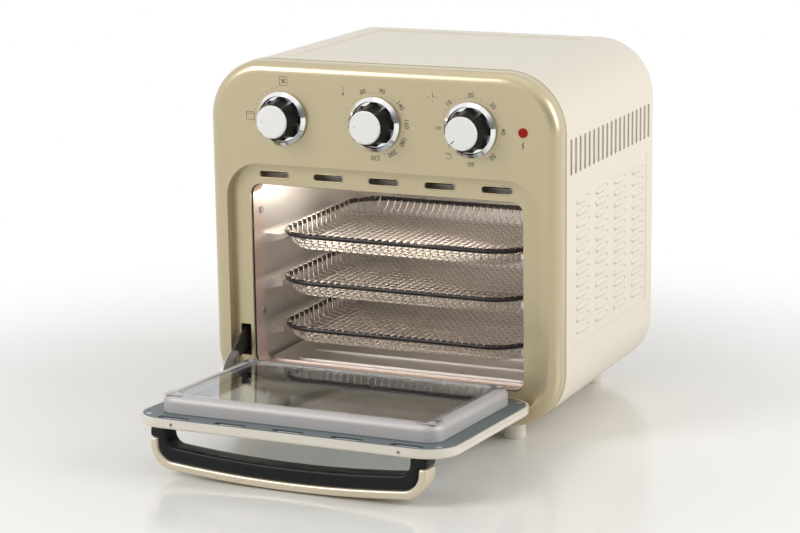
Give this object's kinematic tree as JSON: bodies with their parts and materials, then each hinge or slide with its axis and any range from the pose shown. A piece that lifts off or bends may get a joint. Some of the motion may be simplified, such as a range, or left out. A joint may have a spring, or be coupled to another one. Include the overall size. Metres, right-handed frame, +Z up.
{
  "type": "air fryer oven",
  "caption": "Countertop air fryer oven with a drop-down glazed door, bowed handle, wire baskets on runners, crumb tray, dial controls and a fan-driven top heater.",
  "frame": {"origin": "on the floor, midway between the sides, and midway between the free edge of the open door and the end of the rear bush", "axes": "+X to the right seen from the front, +Y from the front into the oven, +Z up"},
  "size_m": [0.33, 0.447, 0.323],
  "materials": {
    "champagne_plastic": "gloss",
    "cream_paint": "satin",
    "cream_plastic": "gloss",
    "bright_steel": "brushed",
    "plain_steel": "plain",
    "dark_steel": "dull",
    "grey_panel": "satin",
    "dark_wire": "non-stick coated",
    "chrome": "polished",
    "black_plastic": "matte",
    "silver_plastic": "gloss",
    "red_lens": "translucent look",
    "glass": "clear",
    "aluminium": "plain",
    "motor_iron": "plain"
  },
  "bodies": {
    "oven": {"back_panel": "cream_paint", "base_plate": "plain_steel", "body_screws": "plain_steel", "cavity_back": "bright_steel", "cavity_ceiling": "bright_steel", "cavity_floor": "bright_steel", "cavity_front_frame": "bright_steel", "cavity_left_wall": "bright_steel", "cavity_right_wall": "bright_steel", "control_plate": "plain_steel", "cord_gland": "black_plastic", "crumb_tray": "bright_steel", "door_spring": "plain_steel", "fan_guard": "bright_steel", "fan_housing": "plain_steel", "fan_motor": "motor_iron", "feet": "cream_plastic", "front_bezel": "champagne_plastic", "function_switch": "black_plastic", "hinge_pins": "plain_steel", "motor_bracket": "plain_steel", "outer_shell": "cream_paint", "pilot_lamp": "red_lens", "spring_anchor": "plain_steel", "terminal_block": "cream_plastic", "thermostat": "black_plastic", "timer": "black_plastic", "upper_heater": "dark_steel"},
    "door": {"door_frame": "cream_plastic", "door_inner_panel": "grey_panel", "door_inner_glass": "glass", "door_outer_glass": "glass", "glass_clips": "plain_steel", "door_screws": "plain_steel", "hinge_ear": "plain_steel", "hinge_rivet": "plain_steel", "handle_grip": "black_plastic", "handle_cover": "champagne_plastic", "handle_screws": "plain_steel"},
    "lever": {"hinge_lever": "dark_steel"},
    "upper_basket": {"upper_basket": "dark_wire"},
    "middle_basket": {"middle_basket": "dark_wire"},
    "lower_basket": {"lower_basket": "dark_wire"},
    "fan_rotor": {"convection_fan": "aluminium", "cooling_fan": "aluminium", "fan_shaft": "plain_steel"},
    "function_knob": {"function_knob_skirt": "chrome", "function_knob_grip": "black_plastic", "function_knob_cap": "silver_plastic", "function_stem": "plain_steel"},
    "temperature_knob": {"temperature_knob_skirt": "chrome", "temperature_knob_grip": "black_plastic", "temperature_knob_cap": "silver_plastic", "temperature_stem": "plain_steel"},
    "timer_knob": {"timer_knob_skirt": "chrome", "timer_knob_grip": "black_plastic", "timer_knob_cap": "silver_plastic", "timer_stem": "plain_steel"}
  },
  "joints": [
    {"name": "door_hinge", "type": "hinge", "parent": "oven", "child": "door", "pos_m": [0, -0.02729, 0.0345], "axis": [-1, 0, 0], "range_deg": [0, 87], "deforming": ["door_spring"]},
    {"name": "lever_pivot", "type": "hinge", "parent": "door", "child": "lever", "pos_m": [-0.1393, -0.04533, 0.05727], "axis": [1, 0, 0], "range_deg": [0, 90]},
    {"name": "upper_basket_slide", "type": "slide", "parent": "oven", "child": "upper_basket", "axis": [0, 1, 0], "range_m": [-0.18, 0]},
    {"name": "middle_basket_slide", "type": "slide", "parent": "oven", "child": "middle_basket", "axis": [0, 1, 0], "range_m": [-0.18, 0]},
    {"name": "lower_basket_slide", "type": "slide", "parent": "oven", "child": "lower_basket", "axis": [0, 1, 0], "range_m": [-0.12, 0]},
    {"name": "function_knob_turn", "type": "hinge", "parent": "oven", "child": "function_knob", "pos_m": [-0.0918, -0.02949, 0.2736], "axis": [0, 1, 0], "range_deg": [0, 90]},
    {"name": "temperature_knob_turn", "type": "hinge", "parent": "oven", "child": "temperature_knob", "pos_m": [-0.0028, -0.02949, 0.2736], "axis": [0, 1, 0], "range_deg": [0, 270]},
    {"name": "timer_knob_turn", "type": "hinge", "parent": "oven", "child": "timer_knob", "pos_m": [0.0862, -0.02949, 0.2736], "axis": [0, 1, 0], "range_deg": [0, 315]},
    {"name": "fan_spin", "type": "hinge", "parent": "oven", "child": "fan_rotor", "pos_m": [0, 0.10051, 0.239], "axis": [0, 0, 1], "continuous": true}
  ],
  "couplings": [
    {"joint": "lever_pivot", "follows": "door_hinge", "ratio": 1.0332}
  ]
}
